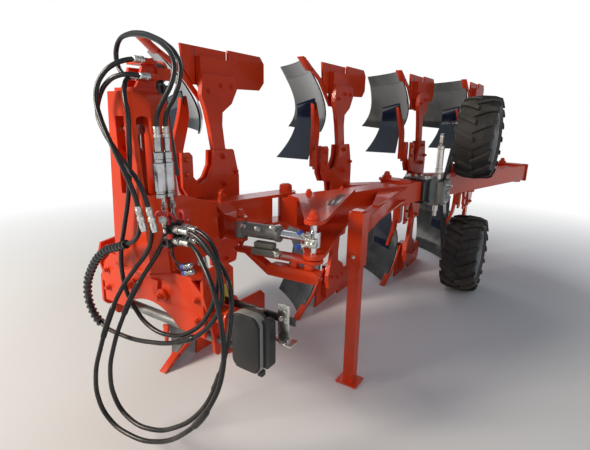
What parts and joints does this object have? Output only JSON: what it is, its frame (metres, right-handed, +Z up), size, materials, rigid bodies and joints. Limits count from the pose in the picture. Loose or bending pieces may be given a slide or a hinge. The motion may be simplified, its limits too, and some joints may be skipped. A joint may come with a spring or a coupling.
{
  "type": "mounted reversible mouldboard plough",
  "caption": "Mounted reversible plough with a variable-width beam, mirrored upper and lower bodies, turnover headstock, twin depth wheels and a parking stand.",
  "frame": {"origin": "on the floor midway between the lower hitch points, straight below their axis, as the plough parks", "axes": "+X to the unploughed side of the lower bodies; +Y rearwards, away from the tractor; +Z up"},
  "size_m": [2.1702, 4.3763, 1.82],
  "materials": {
    "red_paint": "glossy orange-red paint",
    "board_blue": "dark blue protective paint over hardened steel",
    "zinc": "zinc-plated steel",
    "rod_chrome": "hard-chromed piston rod",
    "black_paint": "black paint",
    "cast_grey": "grey painted casting",
    "lamp_plastic": "black moulded plastic",
    "hose_rubber": "black hydraulic hose",
    "tyre": "black rubber",
    "rim_paint": "silver paint"
  },
  "bodies": {
    "headstock": {"tower": "red_paint", "hitch_frame": "red_paint", "hitch_shaft": "zinc", "top_link_pin": "zinc", "ram_ears": "red_paint", "turnover_housing": "red_paint", "valve_block": "zinc", "coupler_rack": "black_paint", "lamp_bracket": "zinc", "lamp_housing": "lamp_plastic", "hose_top_front": "hose_rubber", "hose_top_rear": "hose_rubber", "hose_return": "hose_rubber", "hose_bundle": "hose_rubber", "hose_loop_front": "hose_rubber", "hose_loop_rear": "hose_rubber"},
    "ram_barrel": {"turnover_barrel": "black_paint"},
    "ram_rod": {"turnover_rod": "rod_chrome"},
    "frame": {"turnover_crank": "red_paint", "cross_body": "red_paint", "front_arm": "red_paint", "headplate_1": "red_paint", "leg_1": "red_paint", "share_1": "red_paint", "mouldboard_1": "board_blue", "landside_1": "red_paint", "skimmer_1": "board_blue"},
    "width_barrel": {"width_barrel": "cast_grey"},
    "width_rod": {"width_rod": "rod_chrome"},
    "beam": {"beam": "red_paint", "stand_arm": "red_paint", "wheel_carrier": "cast_grey", "upper_wheel_arm": "black_paint", "lower_wheel_arm": "black_paint", "spindles": "zinc"},
    "stand_leg": {"stand_leg": "red_paint"},
    "upper_wheel": {"upper_tyre": "tyre", "upper_rim": "rim_paint"},
    "lower_wheel": {"lower_tyre": "tyre", "lower_rim": "rim_paint"},
    "body_2": {"headplate_2": "red_paint", "leg_2": "red_paint", "share_2": "red_paint", "mouldboard_2": "board_blue", "landside_2": "red_paint", "skimmer_2": "board_blue"},
    "body_3": {"headplate_3": "red_paint", "leg_3": "red_paint", "share_3": "red_paint", "mouldboard_3": "board_blue", "landside_3": "red_paint", "skimmer_3": "board_blue"},
    "body_4": {"headplate_4": "red_paint", "leg_4": "red_paint", "share_4": "red_paint", "mouldboard_4": "board_blue", "landside_4": "red_paint", "skimmer_4": "board_blue"}
  },
  "joints": [
    {"name": "turnover", "type": "hinge", "parent": "headstock", "child": "frame", "pos_m": [0, 0, 0.91], "axis": [0, -1, 0], "range_deg": [0, 180]},
    {"name": "ram_swing", "type": "hinge", "parent": "headstock", "child": "ram_barrel", "pos_m": [0, 0.05, 1.64], "axis": [0, -1, 0], "range_deg": [-17.14, 0]},
    {"name": "ram_stroke", "type": "slide", "parent": "ram_barrel", "child": "ram_rod", "axis": [0.149, 0, -0.9888], "range_m": [-0.11824, 0]},
    {"name": "beam_swing", "type": "hinge", "parent": "frame", "child": "beam", "pos_m": [0.18, 0.845, 0.91], "axis": [0, 0, -1], "range_deg": [0, 12.3]},
    {"name": "width_swing", "type": "hinge", "parent": "frame", "child": "width_barrel", "pos_m": [0.3, 0.268, 0.91], "axis": [0, 0, -1], "range_deg": [0, 17.1]},
    {"name": "width_stroke", "type": "slide", "parent": "width_barrel", "child": "width_rod", "axis": [0.9912, 0.1322, 0], "range_m": [-0.1233, 0]},
    {"name": "body_2_swing", "type": "hinge", "parent": "beam", "child": "body_2", "pos_m": [0.47822, 1.82043, 0.91], "axis": [0, 0, -1], "range_deg": [-12.3, 0]},
    {"name": "body_3_swing", "type": "hinge", "parent": "beam", "child": "body_3", "pos_m": [0.77644, 2.79586, 0.91], "axis": [0, 0, -1], "range_deg": [-12.3, 0]},
    {"name": "body_4_swing", "type": "hinge", "parent": "beam", "child": "body_4", "pos_m": [1.07466, 3.77129, 0.91], "axis": [0, 0, -1], "range_deg": [-12.3, 0]},
    {"name": "stand_slide", "type": "slide", "parent": "beam", "child": "stand_leg", "axis": [0, 0, 1], "range_m": [0, 0.3]},
    {"name": "upper_wheel_spin", "type": "hinge", "parent": "beam", "child": "upper_wheel", "pos_m": [1.02, 2.4, 1.31], "axis": [1, 0, 0], "continuous": true},
    {"name": "lower_wheel_spin", "type": "hinge", "parent": "beam", "child": "lower_wheel", "pos_m": [1.02, 2.4, 0.33], "axis": [1, 0, 0], "continuous": true}
  ],
  "couplings": [
    {"joint": "ram_swing", "follows": "turnover", "ratio": -0.095213},
    {"joint": "width_swing", "follows": "beam_swing", "ratio": 1.3899},
    {"joint": "width_stroke", "follows": "beam_swing", "m_per_rad": -0.57432},
    {"joint": "body_2_swing", "follows": "beam_swing", "ratio": -1},
    {"joint": "body_3_swing", "follows": "beam_swing", "ratio": -1},
    {"joint": "body_4_swing", "follows": "beam_swing", "ratio": -1}
  ]
}
